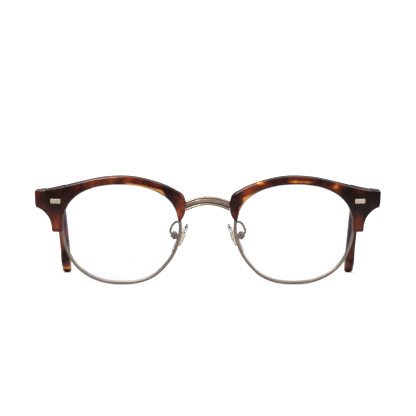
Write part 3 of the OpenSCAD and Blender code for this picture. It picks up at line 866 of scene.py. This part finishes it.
# ---------------------------------------------------------------- floor, light, camera
floor = bpy.data.meshes.new("floor")
floor.from_pydata([(-4, -4, 0), (4, -4, 0), (4, 4, 0), (-4, 4, 0)], [], [(0, 1, 2, 3)])
floor_ob = bpy.data.objects.new("stage_floor", floor)
bpy.context.scene.collection.objects.link(floor_ob)
floor_ob.location.z = -0.00002
fm, nt, out = material("floor_pale")
p = nt.nodes.new("ShaderNodeBsdfPrincipled")
tc = nt.nodes.new("ShaderNodeTexCoord")
nt.links.new(ramp(nt, noise(nt, tc.outputs["Object"], 30.0, 2.0), [(0.3, (0.90, 0.90, 0.90)), (0.7, (0.92, 0.92, 0.92))]), p.inputs["Base Color"])
p.inputs["Roughness"].default_value = 0.9
p.inputs["Specular IOR Level"].default_value = 0.1
# glossy surfaces see the floor dim, as they would see the room over a small table
dim = nt.nodes.new("ShaderNodeBsdfDiffuse")
dim.inputs["Color"].default_value = (0.20, 0.20, 0.205, 1)
way = nt.nodes.new("ShaderNodeLightPath")
either = nt.nodes.new("ShaderNodeMixShader")
bounced = math_node(nt, "SUBTRACT", way.outputs["Is Glossy Ray"], way.outputs["Is Transmission Ray"], True)
nt.links.new(bounced, either.inputs[0])
nt.links.new(p.outputs[0], either.inputs[1])
nt.links.new(dim.outputs[0], either.inputs[2])
vl = nt.nodes.new("ShaderNodeVectorMath")
vl.operation = "LENGTH"
nt.links.new(tc.outputs["Object"], vl.inputs[0])
clear = nt.nodes.new("ShaderNodeBsdfTransparent")
fade = nt.nodes.new("ShaderNodeMixShader")
nt.links.new(ramp(nt, vl.outputs["Value"], [(0.16, (0, 0, 0)), (0.62, (1, 1, 1))]), fade.inputs[0])
nt.links.new(either.outputs[0], fade.inputs[1])
nt.links.new(clear.outputs[0], fade.inputs[2])
nt.links.new(fade.outputs[0], out.inputs["Surface"])
floor.materials.append(fm)

world = bpy.data.worlds.new("studio")
world.use_nodes = True
bpy.context.scene.world = world
nt = world.node_tree
nt.nodes.clear()
out = nt.nodes.new("ShaderNodeOutputWorld")
tc = nt.nodes.new("ShaderNodeTexCoord")
sep = nt.nodes.new("ShaderNodeSeparateXYZ")
nt.links.new(tc.outputs["Generated"], sep.inputs[0])
sky = ramp(nt, math_node(nt, "ADD", math_node(nt, "MULTIPLY", sep.outputs[2], 0.5), 0.5),
           [(0.0, (0.5, 0.5, 0.5)), (0.46, (0.13, 0.13, 0.135)), (0.70, (0.15, 0.15, 0.155)), (0.86, (0.7, 0.7, 0.71)), (1.0, (0.9, 0.9, 0.9))])
bg1 = nt.nodes.new("ShaderNodeBackground")
nt.links.new(sky, bg1.inputs["Color"])
bg1.inputs["Strength"].default_value = 0.85
bg2 = nt.nodes.new("ShaderNodeBackground")
bg2.inputs["Color"].default_value = (1, 1, 1, 1)
bg2.inputs["Strength"].default_value = 1.4
lp = nt.nodes.new("ShaderNodeLightPath")
mx = nt.nodes.new("ShaderNodeMixShader")
nt.links.new(math_node(nt, "MAXIMUM", lp.outputs["Is Camera Ray"], lp.outputs["Is Transmission Ray"]), mx.inputs[0])
nt.links.new(bg1.outputs[0], mx.inputs[1])
nt.links.new(bg2.outputs[0], mx.inputs[2])
nt.links.new(mx.outputs[0], out.inputs["Surface"])


def area(name, place, target, size, watts, shape=None):
    d = bpy.data.lights.new(name, "AREA")
    d.shape = "RECTANGLE"
    d.size, d.size_y = size
    d.energy = watts
    o = bpy.data.objects.new(name, d)
    o.location = place
    o.rotation_mode = "QUATERNION"
    o.rotation_quaternion = (Vector(target) - Vector(place)).to_track_quat("-Z", "Y")
    bpy.context.scene.collection.objects.link(o)
    return o


mid = Vector((0, -0.03, 0.03))
area("key", (-0.45, -0.75, 0.85), mid, (0.5, 0.5), 8.5)
area("fill", (0.75, -0.5, 0.5), mid, (0.6, 0.4), 4.5)
area("top", (0.0, 0.15, 1.1), mid, (1.1, 0.7), 4.8)
area("back", (0.2, 0.9, 0.5), mid, (0.9, 0.4), 4.0).visible_glossy = False

front_y = float(row([[0, 0, 31.6]])[0][1])
cam_d = bpy.data.cameras.new("camera")
cam_d.sensor_width = 36.0
cam_d.lens = 147.7
cam_d.clip_start, cam_d.clip_end = 0.01, 20
cam = bpy.data.objects.new("camera", cam_d)
cam.location = (0.0001, front_y - 0.700, 0.0316)
cam.rotation_euler = (math.radians(90), 0, 0)
bpy.context.scene.collection.objects.link(cam)
bpy.context.scene.camera = cam
bpy.context.scene.view_settings.view_transform = "Standard"
bpy.context.scene.view_settings.look = "None"
